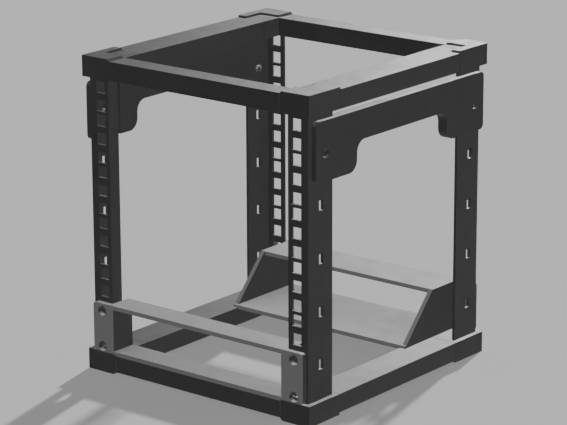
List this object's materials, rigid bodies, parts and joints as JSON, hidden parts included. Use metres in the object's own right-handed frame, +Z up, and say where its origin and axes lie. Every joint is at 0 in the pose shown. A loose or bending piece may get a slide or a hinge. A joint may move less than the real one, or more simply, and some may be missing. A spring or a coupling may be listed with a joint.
{
  "type": "mini pc rack mount",
  "caption": "Open desktop equipment rack: slotted corner posts between a bottom and a top frame, side braces, and a front and a rear mounting bracket for a mini pc",
  "frame": {"origin": "on the floor under the middle of the rack", "axes": "+X to the right along the front, +Y from the front to the rear, +Z up"},
  "size_m": [0.24, 0.244, 0.2747],
  "materials": {
    "frame_plastic": "matt dark grey print with fine layer lines",
    "mount_plastic": "matt mid grey print with fine layer lines",
    "black_steel": "dark plated",
    "plain_steel": "zinc plated"
  },
  "bodies": {
    "root": {"bottom_front_beam": "frame_plastic", "bottom_rear_beam": "frame_plastic", "bottom_left_rail": "frame_plastic", "bottom_right_rail": "frame_plastic", "top_front_beam": "frame_plastic", "top_rear_beam": "frame_plastic", "top_left_rail": "frame_plastic", "top_right_rail": "frame_plastic", "front_left_post": "frame_plastic", "front_right_post": "frame_plastic", "rear_left_post": "frame_plastic", "rear_right_post": "frame_plastic", "left_brace": "frame_plastic", "right_brace": "frame_plastic", "front_mount": "mount_plastic", "rear_mount": "mount_plastic", "brace_screws": "black_steel", "brace_nuts": "plain_steel"}
  },
  "joints": []
}
